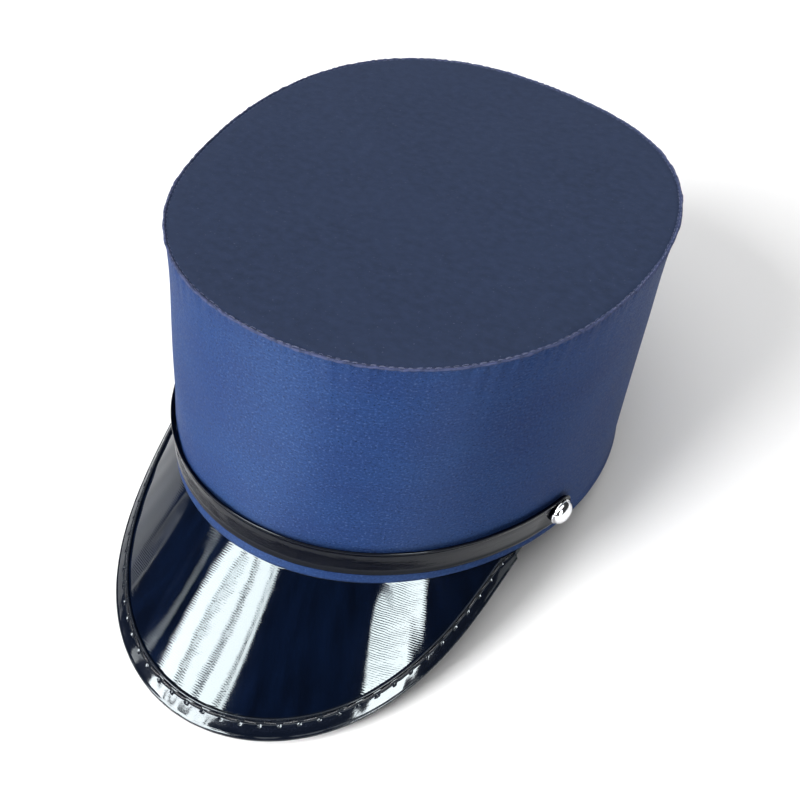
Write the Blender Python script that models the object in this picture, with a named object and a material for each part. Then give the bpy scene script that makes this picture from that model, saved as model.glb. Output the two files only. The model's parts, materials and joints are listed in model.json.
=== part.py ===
# Shako hat: a stiff cloth crown with a flat sewn top, a polished peak with a bound edge,
# and a chin strap held by two domed studs.
# Metres, +Z up. The hat looks along -Y and its wearer's left is +X.
# Each piece is shaped in the hat's own frame, with the rim in the plane z = 0 round the
# origin. The empty hat_rest then leans the hat back until it stands on the back of its
# rim and the front of its peak, with the bottom centre of its box at the world's origin.

import math

import bmesh
import bpy
import numpy as np
from mathutils import Matrix, Vector

# Space between pieces that touch on the real hat
CLEARANCE = 0.0003

# Crown
RIM_HALF_WIDTH = 0.0830
RIM_HALF_LENGTH = 0.1011
TOP_HALF_WIDTH = 0.0871
TOP_HALF_LENGTH = 0.0976
TOP_SHIFT_BACK = 0.0063
TOP_RISE = math.radians(4.5)
CROWN_HEIGHT = 0.0972
CROWN_WALL = 0.0020
CROWN_FLARE = 0.0012

# Top panel and the rolled seam round it
PANEL_THICKNESS = 0.0012
SEAM_WIDTH = 0.0026
SEAM_THICKNESS = 0.0015
SEAM_OVERHANG = 0.0005

# Peak
PEAK_LENGTH = 0.0613
PEAK_THICKNESS = 0.0016
PEAK_SPREAD = math.radians(70.7)
PEAK_DROP_FRONT = math.radians(48.5)
PEAK_DROP_SIDE = math.radians(66.1)
PEAK_FULLNESS = 1.966
PEAK_SHARPNESS = 1.411
PEAK_TUCK = 0.0080
PEAK_LEDGE_INSET = 0.0002

# Binding folded over the peak's edge
BINDING_WIDTH = 0.0080
BINDING_THICKNESS = 0.0008
BINDING_SOFTENING = 0.0004

# Chin strap
STRAP_WIDTH = 0.0116
STRAP_THICKNESS = 0.0015
STRAP_RISE = 0.0042
STRAP_PAST_STUD = math.radians(3.9)
STRAP_END_ROUND = math.radians(3.2)
STRAP_END_SHARE = 0.45

# Studs
STUD_AROUND = math.radians(75.6)
STUD_RADIUS = 0.0050
STUD_HEIGHT = 0.0031
STUD_EDGE = 0.0010
STUD_POST_RADIUS = 0.0012
STUD_BACK_RADIUS = 0.0028
STUD_BACK_THICKNESS = 0.0008
CUTTER_REACH = 0.0060

# Fineness of the meshes
CROWN_STEPS = 88
PEAK_STEPS = 44
PEAK_ROWS = 7
BINDING_STEPS = 52
NOSE_STEPS = 6
STRAP_STEPS = 56
STUD_STEPS = 24
DOME_STEPS = 5
SHARP_ANGLE = math.radians(38.0)

# Waves that turn an ellipse into the real outline, as shares of its radius.
# Columns: waves round the outline, cosine share, sine share.
RIM_WAVES = (
    (1, -0.0595, 0.0),
)
TOP_WAVES = (
    (2, 0.0, 0.0368),
    (3, 0.0172, -0.0106),
    (4, -0.0219, 0.0025),
)

# Rows up the crown's wall. Columns: share of the height, share of the flare.
CROWN_ROWS = (
    (0.00, 0.00),
    (0.30, 0.00),
    (0.60, 0.00),
    (0.80, 0.06),
    (0.90, 0.32),
    (0.96, 0.68),
    (1.00, 1.00),
)

# The seam roll's section from the panel's face, over the crest, to its underside.
# Columns: share of the seam's width inwards, share of its thickness upwards.
SEAM_ROWS = (
    (1.00, 0.00),
    (0.78, -0.12),
    (0.60, -0.02),
    (0.38, 0.12),
    (0.16, 0.06),
    (0.03, -0.16),
    (0.00, -0.38),
    (0.05, -0.72),
    (0.18, -1.00),
    (1.00, -1.00),
)

# The strap's section, with a folded ridge along each edge.
# Columns: share of the width upwards, share of the thickness outwards.
STRAP_ROWS = (
    (0.04, 0.00),
    (0.00, 0.25),
    (0.00, 0.70),
    (0.06, 1.00),
    (0.15, 0.78),
    (0.50, 0.92),
    (0.85, 0.78),
    (0.94, 1.00),
    (1.00, 0.70),
    (1.00, 0.25),
    (0.96, 0.00),
)

# Finishes. Columns: name, linear colour, roughness, metallic.
FINISHES = (
    ("crown_satin", (0.044, 0.084, 0.246), 0.55, 0.0),
    ("top_cloth", (0.036, 0.054, 0.105), 0.80, 0.0),
    ("peak_patent", (0.010, 0.011, 0.016), 0.10, 0.0),
    ("binding_patent", (0.014, 0.015, 0.020), 0.22, 0.0),
    ("strap_patent", (0.012, 0.012, 0.016), 0.18, 0.0),
    ("stud_chrome", (0.800, 0.800, 0.820), 0.12, 1.0),
)


def clear_scene():
    for old in list(bpy.data.objects):
        bpy.data.objects.remove(old, do_unlink=True)


def make_finishes():
    made = {}
    for name, colour, roughness, metallic in FINISHES:
        finish = bpy.data.materials.new(name)
        finish.use_nodes = True
        shader = finish.node_tree.nodes["Principled BSDF"]
        shader.inputs["Base Color"].default_value = (*colour, 1.0)
        shader.inputs["Roughness"].default_value = roughness
        shader.inputs["Metallic"].default_value = metallic
        made[name] = finish
    return made


# Outlines in the rim's plane. Angle 0 is the front and a quarter turn is the wearer's left.

def waved_ellipse(angles, half_width, half_length, waves):
    radius_share = np.ones_like(angles)
    for count, cosine_share, sine_share in waves:
        radius_share += cosine_share * np.cos(count * angles)
        radius_share += sine_share * np.sin(count * angles)
    across = half_width * np.sin(angles) * radius_share
    along = -half_length * np.cos(angles) * radius_share
    return np.stack([across, along], axis=1)


def rim_outline(angles):
    return waved_ellipse(angles, RIM_HALF_WIDTH, RIM_HALF_LENGTH, RIM_WAVES)


def seam_outline(angles):
    outline = waved_ellipse(angles, TOP_HALF_WIDTH, TOP_HALF_LENGTH, TOP_WAVES)
    outline[:, 1] += TOP_SHIFT_BACK
    return outline


def outward_normals(outline_of, angles):
    step = 0.001
    along = outline_of(angles + step) - outline_of(angles - step)
    normals = np.stack([along[:, 1], -along[:, 0]], axis=1)
    return normals / np.linalg.norm(normals, axis=1)[:, None]


def offset_outline(outline_of, angles, distance):
    return outline_of(angles) + outward_normals(outline_of, angles) * distance


def top_height(outline, drop=0.0):
    return CROWN_HEIGHT + math.tan(TOP_RISE) * outline[:, 1] - drop


def crown_point(angles, share, flare_share):
    # The wall's outer face at a share of its height, and that height
    inset = SEAM_OVERHANG + CROWN_FLARE
    upper = offset_outline(seam_outline, angles, -inset)
    full_height = top_height(upper, SEAM_THICKNESS + CLEARANCE)
    outline = rim_outline(angles) * (1.0 - share) + upper * share
    normals = outward_normals(seam_outline, angles)
    return outline + normals * CROWN_FLARE * flare_share, full_height * share


def crown_at_height(angles, height):
    # Low on the wall, where it is straight
    full_height = crown_point(angles, 1.0, 0.0)[1]
    share = (height / full_height)[:, None]
    foot = rim_outline(angles)
    upper = crown_point(angles, 1.0, 0.0)[0]
    return foot * (1.0 - share) + upper * share


# Meshes

def finish_mesh(name, bm, material):
    bmesh.ops.recalc_face_normals(bm, faces=bm.faces)
    mesh = bpy.data.meshes.new(name)
    bm.to_mesh(mesh)
    bm.free()
    mesh.shade_smooth()
    mesh.set_sharp_from_angle(angle=SHARP_ANGLE)
    mesh.materials.append(material)
    piece = bpy.data.objects.new(name, mesh)
    bpy.context.scene.collection.objects.link(piece)
    return piece


def bridge_rows(bm, rows, join_ends):
    # Quads between neighbouring rows of vertices, each row a closed loop
    pairs = list(zip(rows, rows[1:]))
    if join_ends:
        pairs.append((rows[-1], rows[0]))
    for lower, upper in pairs:
        count = len(lower)
        for index in range(count):
            after = (index + 1) % count
            bm.faces.new((lower[index], lower[after], upper[after], upper[index]))


def add_row(bm, points):
    return [bm.verts.new(point) for point in points]


def raised(outline, height):
    heights = np.broadcast_to(height, len(outline))
    return np.column_stack([outline, heights])


def tube_from_sections(name, sections, material):
    # A body swept through closed sections, with a flat face at each end
    bm = bmesh.new()
    rows = [add_row(bm, section) for section in sections]
    bridge_rows(bm, rows, join_ends=False)
    bm.faces.new(rows[0])
    bm.faces.new(list(reversed(rows[-1])))
    return finish_mesh(name, bm, material)


def crown_angles():
    return np.arange(CROWN_STEPS) * (2.0 * math.pi / CROWN_STEPS)


def make_crown_side(material):
    angles = crown_angles()
    inwards = outward_normals(rim_outline, angles) * -CROWN_WALL
    outer = []
    inner = []
    for share, flare_share in CROWN_ROWS:
        outline, height = crown_point(angles, share, flare_share)
        outer.append(raised(outline, height))
        inner.append(raised(outline + inwards, height))
    bm = bmesh.new()
    rows = [add_row(bm, points) for points in outer + inner[::-1]]
    bridge_rows(bm, rows, join_ends=True)
    return finish_mesh("crown_side", bm, material)


def make_top_panel(material):
    angles = crown_angles()
    bm = bmesh.new()
    rows = []
    for width_share, thickness_share in SEAM_ROWS:
        outline = offset_outline(seam_outline, angles, -SEAM_WIDTH * width_share)
        height = top_height(outline, -SEAM_THICKNESS * thickness_share)
        rows.append(add_row(bm, raised(outline, height)))
    under_inset = SEAM_WIDTH + SEAM_THICKNESS - PANEL_THICKNESS
    under = offset_outline(seam_outline, angles, -under_inset)
    rows.append(add_row(bm, raised(under, top_height(under, PANEL_THICKNESS))))
    bridge_rows(bm, rows, join_ends=False)
    bm.faces.new(rows[0])
    bm.faces.new(list(reversed(rows[-1])))
    return finish_mesh("top_panel", bm, material)


# Peak: straight lines run down and out from the rim, long in front and short at the sides.

def peak_extent(turn):
    return PEAK_LENGTH * (1.0 - np.abs(turn) ** PEAK_FULLNESS) ** PEAK_SHARPNESS


def turn_of_extent(extent):
    share = (extent / PEAK_LENGTH) ** (1.0 / PEAK_SHARPNESS)
    return (1.0 - share) ** (1.0 / PEAK_FULLNESS)


def peak_drop(turn):
    return PEAK_DROP_FRONT + (PEAK_DROP_SIDE - PEAK_DROP_FRONT) * turn * turn


def peak_frame(turn):
    # Start of the straight line, its direction, and the direction out of the upper face
    angle = np.array([turn * PEAK_SPREAD])
    normal = outward_normals(rim_outline, angle)[0]
    start = offset_outline(rim_outline, angle, -PEAK_LEDGE_INSET)[0]
    drop = peak_drop(turn)
    out = np.array([*(normal * math.cos(drop)), -math.sin(drop)])
    up = np.array([*(normal * math.sin(drop)), math.cos(drop)])
    return np.array([*start, -CLEARANCE]), out, up


def nose_radius():
    return PEAK_THICKNESS / 2.0 + CLEARANCE + BINDING_THICKNESS


def sheet_edge_inset():
    # How far the peak's own edge lies inside the binding's outermost line
    return nose_radius() / 2.0 + CLEARANCE


def under_start(turn, thickness):
    # Where a line below the sheet leaves the level ledge under the rim
    return thickness * math.tan(peak_drop(turn) / 2.0)


def peak_section(turn):
    start, out, up = peak_frame(turn)
    angle = np.array([turn * PEAK_SPREAD])
    tucked = crown_at_height(angle, PEAK_TUCK)
    normal = outward_normals(rim_outline, angle)
    outer_inset = CROWN_WALL + CLEARANCE
    inner_inset = outer_inset + PEAK_THICKNESS
    length = peak_extent(turn) - sheet_edge_inset()
    foot = rim_outline(angle)
    upper = [
        raised(tucked - normal * outer_inset, PEAK_TUCK)[0],
        raised(foot - normal * outer_inset, -CLEARANCE)[0],
    ]
    lower = [
        raised(tucked - normal * inner_inset, PEAK_TUCK)[0],
        raised(foot - normal * inner_inset, -CLEARANCE - PEAK_THICKNESS)[0],
    ]
    bend = under_start(turn, PEAK_THICKNESS)
    low_start = min(bend, length * 0.5)
    for row in range(PEAK_ROWS):
        share = row / (PEAK_ROWS - 1)
        upper.append(start + out * length * share)
        reach = low_start + (length - low_start) * share
        lower.append(start + out * reach - up * PEAK_THICKNESS)
    return upper + lower[::-1]


def make_peak(material):
    end = turn_of_extent(sheet_edge_inset() + PEAK_THICKNESS / 2.0)
    turns = np.linspace(-end, end, PEAK_STEPS + 1)
    return tube_from_sections("peak", [peak_section(turn) for turn in turns], material)


def binding_section(turn):
    start, out, up = peak_frame(turn)
    edge = peak_extent(turn)
    radius = nose_radius()
    fold = edge - nose_radius() / 2.0
    top_start = max(edge - BINDING_WIDTH, CLEARANCE)
    low_depth = PEAK_THICKNESS + CLEARANCE
    low_start = max(edge - BINDING_WIDTH, under_start(turn, low_depth))
    upper_face = CLEARANCE + BINDING_THICKNESS
    lower_face = -low_depth - BINDING_THICKNESS
    corner = BINDING_THICKNESS * 0.6
    flat = [
        (top_start, CLEARANCE),
        (top_start, CLEARANCE + corner),
        (top_start + BINDING_SOFTENING, upper_face),
    ]
    for step in range(NOSE_STEPS + 1):
        swing = math.pi * (0.5 - step / NOSE_STEPS)
        across = edge - radius + radius * math.cos(swing)
        flat.append((across, -PEAK_THICKNESS / 2.0 + radius * math.sin(swing)))
    flat += [
        (low_start + BINDING_SOFTENING, lower_face),
        (low_start, -low_depth - corner),
        (low_start, -low_depth),
        (fold, -low_depth),
        (fold, CLEARANCE),
    ]
    return [start + out * across + up * height for across, height in flat]


def make_peak_binding(material):
    low_reach = under_start(1.0, PEAK_THICKNESS + CLEARANCE)
    end = turn_of_extent(low_reach + 2.0 * BINDING_SOFTENING + nose_radius())
    turns = np.linspace(-end, end, BINDING_STEPS + 1)
    sections = [binding_section(turn) for turn in turns]
    return tube_from_sections("peak_binding", sections, material)


# Chin strap and studs

def wall_frame(turn, height):
    # A point on the wall's outer face with the wall's outward and upward directions there
    angle = np.array([turn])
    step = 0.001
    point = raised(crown_at_height(angle, height), height)[0]
    above = raised(crown_at_height(angle, height + step), height + step)[0]
    ahead = raised(crown_at_height(angle + step, height), height)[0]
    up = (above - point) / np.linalg.norm(above - point)
    outward = np.cross(ahead - point, up)
    outward /= np.linalg.norm(outward)
    return point, outward, up


def strap_section(turn, width_share):
    middle = STRAP_RISE + STRAP_WIDTH / 2.0
    point, outward, up = wall_frame(turn, middle)
    section = []
    for up_share, out_share in STRAP_ROWS:
        rise = (up_share - 0.5) * STRAP_WIDTH * width_share
        stand = CLEARANCE + STRAP_THICKNESS * out_share
        section.append(point + up * rise + outward * stand)
    return section


def strap_width_share(turn):
    reach = STUD_AROUND + STRAP_PAST_STUD
    into_end = max(0.0, abs(turn) - (reach - STRAP_END_ROUND)) / STRAP_END_ROUND
    return max(STRAP_END_SHARE, math.sqrt(max(0.0, 1.0 - into_end * into_end)))


def strap_turns():
    reach = STUD_AROUND + STRAP_PAST_STUD
    body = reach - STRAP_END_ROUND
    end = body + STRAP_END_ROUND * np.sin(np.linspace(0.0, math.pi / 2.0, 5)[1:])
    middle = np.linspace(-body, body, STRAP_STEPS + 1)
    return np.concatenate([-end[::-1], middle, end])


def make_chin_strap(material):
    sections = [strap_section(turn, strap_width_share(turn)) for turn in strap_turns()]
    return tube_from_sections("chin_strap", sections, material)


def stud_profile():
    # Radius and height above the strap's outer face, from the back of the hidden head
    stack = 2.0 * CLEARANCE + STRAP_THICKNESS + CROWN_WALL
    back_face = -stack - CLEARANCE
    profile = [
        (0.0, back_face - STUD_BACK_THICKNESS),
        (STUD_BACK_RADIUS, back_face - STUD_BACK_THICKNESS),
        (STUD_BACK_RADIUS, back_face),
        (STUD_POST_RADIUS, back_face),
        (STUD_POST_RADIUS, 0.0),
        (STUD_RADIUS - STUD_EDGE / 2.0, 0.0),
        (STUD_RADIUS, STUD_EDGE / 2.0),
        (STUD_RADIUS - STUD_EDGE / 4.0, STUD_EDGE),
    ]
    dome_radius = STUD_RADIUS - STUD_EDGE
    for step in range(DOME_STEPS + 1):
        swing = math.pi / 2.0 * step / DOME_STEPS
        height = STUD_EDGE + (STUD_HEIGHT - STUD_EDGE) * math.sin(swing)
        profile.append((dome_radius * math.cos(swing), height))
    profile[-1] = (0.0, STUD_HEIGHT)
    return profile


def turned_body(name, profile, material):
    # A profile from axis to axis, turned about local Z
    bm = bmesh.new()
    rows = []
    for radius, height in profile[1:-1]:
        ring = []
        for step in range(STUD_STEPS):
            swing = 2.0 * math.pi * step / STUD_STEPS
            ring.append(bm.verts.new((radius * math.cos(swing), radius * math.sin(swing), height)))
        rows.append(ring)
    bridge_rows(bm, rows, join_ends=False)
    for pole, ring in ((profile[0], rows[0]), (profile[-1], rows[-1])):
        tip = bm.verts.new((0.0, 0.0, pole[1]))
        for index in range(STUD_STEPS):
            bm.faces.new((ring[index], ring[(index + 1) % STUD_STEPS], tip))
    return finish_mesh(name, bm, material)


def stud_matrix(turn):
    point, outward, up = wall_frame(turn, STRAP_RISE + STRAP_WIDTH / 2.0)
    side = np.cross(up, outward)
    place = point + outward * (2.0 * CLEARANCE + STRAP_THICKNESS)
    matrix = Matrix.Identity(4)
    for row in range(3):
        matrix[row][0] = side[row]
        matrix[row][1] = up[row]
        matrix[row][2] = outward[row]
        matrix[row][3] = place[row]
    return matrix


def make_stud(name, turn, material):
    stud = turned_body(name, stud_profile(), material)
    stud.matrix_world = stud_matrix(turn)
    return stud


def make_post_cutter(name, turn, material):
    radius = STUD_POST_RADIUS + CLEARANCE
    depth = 2.0 * CLEARANCE + STRAP_THICKNESS + CROWN_WALL + CUTTER_REACH
    profile = [(0.0, -depth), (radius, -depth), (radius, CUTTER_REACH), (0.0, CUTTER_REACH)]
    cutter = turned_body(name, profile, material)
    cutter.matrix_world = stud_matrix(turn)
    cutter.hide_render = True
    cutter.display_type = "WIRE"
    return cutter


def drill(piece, cutter):
    cut = piece.modifiers.new(cutter.name, "BOOLEAN")
    cut.operation = "DIFFERENCE"
    cut.solver = "EXACT"
    cut.object = cutter


# Resting pose

def lower_hull(points):
    # The underside of a set of (y, z) points, from back to front
    ordered = sorted(set(points))
    hull = []
    for point in ordered:
        while len(hull) > 1:
            (y1, z1), (y2, z2) = hull[-2], hull[-1]
            turn = (y2 - y1) * (point[1] - z1) - (z2 - z1) * (point[0] - y1)
            if turn > 0.0:
                break
            hull.pop()
        hull.append(point)
    return hull


def resting_lean(points):
    # The line under the middle of the rim that the hat stands on, seen from the side
    hull = lower_hull([(point.y, point.z) for point in points])
    for (y1, z1), (y2, z2) in zip(hull, hull[1:]):
        if y1 <= 0.0 <= y2:
            return -math.atan2(z2 - z1, y2 - y1)
    return 0.0


def stand_up(pieces):
    points = []
    for piece in pieces:
        points += [piece.matrix_world @ vertex.co for vertex in piece.data.vertices]
    lean = Matrix.Rotation(resting_lean(points), 4, "X")
    stood = np.array([lean @ point for point in points])
    low = stood.min(axis=0)
    high = stood.max(axis=0)
    shift = Vector((-(low[0] + high[0]) / 2.0, -(low[1] + high[1]) / 2.0, -low[2]))
    return Matrix.Translation(shift) @ lean


def main():
    clear_scene()
    finishes = make_finishes()
    crown = make_crown_side(finishes["crown_satin"])
    panel = make_top_panel(finishes["top_cloth"])
    peak = make_peak(finishes["peak_patent"])
    binding = make_peak_binding(finishes["binding_patent"])
    strap = make_chin_strap(finishes["strap_patent"])
    pieces = [crown, panel, peak, binding, strap]
    cutters = []
    for side, turn in (("left", STUD_AROUND), ("right", -STUD_AROUND)):
        pieces.append(make_stud("stud_" + side, turn, finishes["stud_chrome"]))
        cutter = make_post_cutter("post_cutter_" + side, turn, finishes["stud_chrome"])
        drill(crown, cutter)
        drill(strap, cutter)
        cutters.append(cutter)
    rest = bpy.data.objects.new("hat_rest", None)
    bpy.context.scene.collection.objects.link(rest)
    bpy.context.view_layer.update()
    standing = stand_up(pieces)
    for piece in pieces + cutters:
        piece.parent = rest
    rest.matrix_world = standing
    bpy.context.view_layer.update()


main()
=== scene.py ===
import bmesh
import bpy
import json
import math
import numpy as np
from mathutils import Matrix, Vector


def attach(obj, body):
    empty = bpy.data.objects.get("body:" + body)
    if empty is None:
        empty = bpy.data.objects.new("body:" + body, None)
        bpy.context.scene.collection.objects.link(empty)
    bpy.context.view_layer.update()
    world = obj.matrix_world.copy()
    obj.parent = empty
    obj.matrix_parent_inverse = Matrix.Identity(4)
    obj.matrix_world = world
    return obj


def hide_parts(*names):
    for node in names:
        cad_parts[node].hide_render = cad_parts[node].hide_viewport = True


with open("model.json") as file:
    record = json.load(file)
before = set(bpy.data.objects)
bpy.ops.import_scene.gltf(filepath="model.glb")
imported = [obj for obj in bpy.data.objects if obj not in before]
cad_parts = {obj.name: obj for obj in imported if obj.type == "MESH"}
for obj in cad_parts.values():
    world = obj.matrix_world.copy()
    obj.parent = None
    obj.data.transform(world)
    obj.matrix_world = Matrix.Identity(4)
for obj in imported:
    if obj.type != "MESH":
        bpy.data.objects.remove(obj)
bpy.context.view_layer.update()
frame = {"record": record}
print("frame loaded")


# Shape shared by every piece, in metres and degrees, upright in the rim's own plane

hat = {
    "gap": 0.0003,  # air between pieces that touch
    "rimHalfWidth": 0.0830,
    "rimHalfLength": 0.1011,
    "rimWaves": ((1, -0.0595, 0.0),),  # waves round, cosine share, sine share
    "topHalfWidth": 0.0871,
    "topHalfLength": 0.0976,
    "topShiftBack": 0.0063,
    "topWaves": ((2, 0.0, 0.0368), (3, 0.0172, -0.0106), (4, -0.0219, 0.0025)),
    "topRise": 4.5,
    "height": 0.0972,
    "wall": 0.0020,
    "flare": 0.0012,
    "flareFrom": 0.74,  # share of the height
    "flarePower": 2.1,
    "seamWidth": 0.0026,
    "seamThickness": 0.0015,
    "seamOverhang": 0.0005,
    "seamStitches": 224,  # needle holes round the top
    "panel": 0.0012,
}

fullTurn = 2.0 * math.pi
smallStep = 0.001  # for slopes, in radians or metres


def wavedEllipse(angles, halfWidth, halfLength, waves):
    # angle 0 is the front and a quarter turn is the wearer's left
    share = np.ones_like(angles)
    for count, cosineShare, sineShare in waves:
        share = share + cosineShare * np.cos(count * angles) + sineShare * np.sin(count * angles)
    return np.stack([halfWidth * np.sin(angles) * share, -halfLength * np.cos(angles) * share], axis=-1)


def rimOutline(angles):
    return wavedEllipse(angles, hat["rimHalfWidth"], hat["rimHalfLength"], hat["rimWaves"])


def seamOutline(angles):
    outline = wavedEllipse(angles, hat["topHalfWidth"], hat["topHalfLength"], hat["topWaves"])
    outline[..., 1] += hat["topShiftBack"]
    return outline


def unit(vectors):
    return vectors / np.linalg.norm(vectors, axis=-1, keepdims=True)


def outwardOf(outline, angles):
    along = outline(angles + smallStep) - outline(angles - smallStep)
    return unit(np.stack([along[..., 1], -along[..., 0]], axis=-1))


def offsetOutline(outline, angles, distance):
    return outline(angles) + outwardOf(outline, angles) * distance


def lengthsAlong(points):
    return np.concatenate([[0.0], np.cumsum(np.linalg.norm(np.diff(points, axis=0), axis=1))])


def ringAngles(columns):
    # once round from the back, where the satin's ends meet
    return math.pi + np.arange(columns) * (fullTurn / columns)


def seamPulls(angles):
    # 1 where the needle went through the top's seam and 0 halfway between
    around = lengthsAlong(seamOutline(np.append(angles, angles[0] + fullTurn)))
    return 0.5 + 0.5 * np.cos(fullTurn * hat["seamStitches"] * around[:-1] / around[-1])


def topHeight(points):
    return hat["height"] + math.tan(math.radians(hat["topRise"])) * points[..., 1]


def crownPoint(angles, share, flared=True):
    # the wall's outer face at this share of the way up, and its height there
    upper = offsetOutline(seamOutline, angles, -hat["seamOverhang"] - hat["flare"])
    fullHeight = topHeight(upper) - hat["seamThickness"] - hat["gap"]
    outline = rimOutline(angles) * (1.0 - share) + upper * share
    if flared:
        bend = max(0.0, (share - hat["flareFrom"]) / (1.0 - hat["flareFrom"])) ** hat["flarePower"]
        outline = outline + outwardOf(seamOutline, angles) * hat["flare"] * bend
    return outline, fullHeight * share


def crownAtHeight(angles, height):
    upper, fullHeight = crownPoint(angles, 1.0, flared=False)
    share = (height / fullHeight)[..., None]
    return rimOutline(angles) * (1.0 - share) + upper * share


def raised(outline, height):
    heights = np.broadcast_to(np.asarray(height), outline.shape[:-1])
    return np.concatenate([outline, heights[..., None]], axis=-1)


def wallFrame(angles, height):
    # a point on the wall, with the directions out of it and up it
    point = raised(crownAtHeight(angles, height), height)
    above = raised(crownAtHeight(angles, height + smallStep), height + smallStep)
    ahead = raised(crownAtHeight(angles + smallStep, height), height)
    up = unit(above - point)
    outward = unit(np.cross(ahead - point, up))
    return point, outward, up


# The hat leans back on its rim: the record's lower mount says how far

def standingPlace():
    rim = next(mount for mount in frame["record"]["mounts"] if mount["name"] == "rim_back")
    lean = math.atan2(rim["axis"][1], -rim["axis"][2])
    turn = Matrix.Rotation(lean, 3, "X")
    backY = hat["rimHalfLength"] * (1.0 - hat["rimWaves"][0][1]) - hat["wall"] / 2.0
    shift = Vector(rim["pos_m"]) - turn @ Vector((0.0, backY, 0.0))
    return np.array(turn), np.array(shift)


standTurn, standShift = standingPlace()


def standing(points):
    return points @ standTurn.T + standShift


def standingDirection(directions):
    return directions @ standTurn.T


# Smooth lines and small irregularities, the same on every run

wander = {
    "ringWaves": 14,  # waves added up round the hat
    "pathWaves": 10,  # and along an open path
    "cornerSteps": 24,  # steps between two corners of a rounded line
}


def ringNoise(angles, heights, seed, fewest, most, perMetre):
    # smooth waves that close on themselves round the hat, about -1 to 1
    draw = np.random.default_rng(seed)
    total = np.zeros(np.broadcast(angles, heights).shape)
    for _ in range(wander["ringWaves"]):
        waves = int(draw.integers(fewest, most + 1))
        climb = draw.uniform(-1.0, 1.0) * perMetre * fullTurn
        total += np.sin(waves * angles + climb * heights + draw.uniform(0.0, fullTurn))
    return total / math.sqrt(wander["ringWaves"])


def pathNoise(distance, seed, shortest, longest):
    # smooth waves along an open path, about -1 to 1
    draw = np.random.default_rng(seed)
    total = np.zeros(np.shape(distance))
    for _ in range(wander["pathWaves"]):
        length = draw.uniform(shortest, longest)
        total += np.sin(distance * (fullTurn / length) + draw.uniform(0.0, fullTurn))
    return total / math.sqrt(wander["pathWaves"])


def smoothPath(corners, count):
    # a rounded line through the corners, evenly spaced along its length
    corners = np.asarray(corners, float)
    padded = np.vstack([2 * corners[0] - corners[1], corners, 2 * corners[-1] - corners[-2]])
    fine = []
    for index in range(1, len(padded) - 2):
        before, start, end, after = padded[index - 1:index + 3]
        for t in np.linspace(0.0, 1.0, wander["cornerSteps"], endpoint=False):
            fine.append(0.5 * (2 * start + (end - before) * t
                               + (2 * before - 5 * start + 4 * end - after) * t * t
                               + (3 * start - before - 3 * end + after) * t ** 3))
    fine.append(corners[-1])
    fine = np.array(fine)
    gone = lengthsAlong(fine)
    wanted = np.linspace(0.0, gone[-1], count)
    return np.stack([np.interp(wanted, gone, column) for column in fine.T], axis=1)


# Meshes from grids of points

def clothMap(across, along):
    return np.stack(np.broadcast_arrays(across, along), axis=-1)


def stripMap(gone, sections, width):
    # the middle section's length round gives the map's other way
    fold = lengthsAlong(sections[len(sections) // 2])
    return clothMap(gone[:, None], np.append(fold, fold[-1] + width))


def facesInward(mesh):
    solid = bmesh.new()
    solid.from_mesh(mesh)
    volume = solid.calc_volume(signed=True)
    solid.free()
    return volume < 0.0


def gridMesh(name, points, cloth, closedAlong=False, capped=False, tips=None, marks=None):
    # points[row, column] with closed rows; cloth holds the UV of every corner, one more where it closes
    rows, columns = points.shape[:2]
    rowIndex, columnIndex = np.meshgrid(
        np.arange(rows if closedAlong else rows - 1), np.arange(columns), indexing="ij")
    corners = [(0, 0), (0, 1), (1, 1), (1, 0)]
    faces = np.stack([((rowIndex + down) % rows) * columns + (columnIndex + right) % columns
                      for down, right in corners], axis=-1).reshape(-1, 4)
    places = [np.stack([cloth[rowIndex + down, columnIndex + right]
                        for down, right in corners], axis=2).reshape(-1, 2)]
    vertices = points.reshape(-1, 3)
    polygons = faces.tolist()
    if tips is not None:
        vertices = np.vstack([vertices, tips])
        for tip, row, order in ((0, 0, -1), (1, rows - 1, 1)):
            for column in range(columns):
                side = [row * columns + column, row * columns + (column + 1) % columns]
                sideCloth = [cloth[row, column], cloth[row, column + 1]]
                polygons.append([*side[::order], rows * columns + tip])
                places.append([*sideCloth[::order], np.mean(sideCloth, axis=0)])
    if capped:
        first = list(range(columns))
        last = list(range((rows - 1) * columns, rows * columns))
        polygons += [first[::-1], last]
        places += [cloth[0, :columns][::-1], cloth[-1, :columns]]
    mesh = bpy.data.meshes.new(name)
    mesh.from_pydata(vertices.tolist(), [], polygons)
    mesh.uv_layers.new(name="cloth")
    mesh.uv_layers["cloth"].data.foreach_set("uv", np.concatenate(places).astype(np.float32).ravel())
    for markName, values in (marks or {}).items():
        layer = mesh.attributes.new(markName, "FLOAT", "POINT")
        whole = np.zeros(len(vertices), np.float32)
        whole[:rows * columns] = np.broadcast_to(values, (rows, columns)).ravel()
        layer.data.foreach_set("value", whole)
    if facesInward(mesh):
        mesh.flip_normals()
    mesh.shade_smooth()
    mesh.validate()
    return mesh


def addObject(name, data):
    made = bpy.data.objects.new(name, data)
    bpy.context.scene.collection.objects.link(made)
    return made


def placePiece(mesh, material, node=None):
    mesh.materials.clear()
    mesh.materials.append(material)
    piece = addObject(mesh.name, mesh)
    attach(piece, "root")
    if node:
        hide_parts(node)
    print("made", mesh.name, len(mesh.polygons), "faces")


# Short ways to add nodes

def feed(tree, node, sockets):
    # sockets by name or number: another node's output is linked, and a value is set
    for key, value in sockets.items():
        socket = node.inputs[key]
        if isinstance(value, bpy.types.NodeSocket):
            tree.links.new(value, socket)
        elif socket.type == "RGBA":
            socket.default_value = (*value, 1.0)
        else:
            socket.default_value = value


def addNode(tree, kind, sockets=(), **settings):
    node = tree.nodes.new(kind)
    for key, value in settings.items():
        setattr(node, key, value)
    feed(tree, node, sockets if isinstance(sockets, dict) else dict(enumerate(sockets)))
    return node


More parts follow.
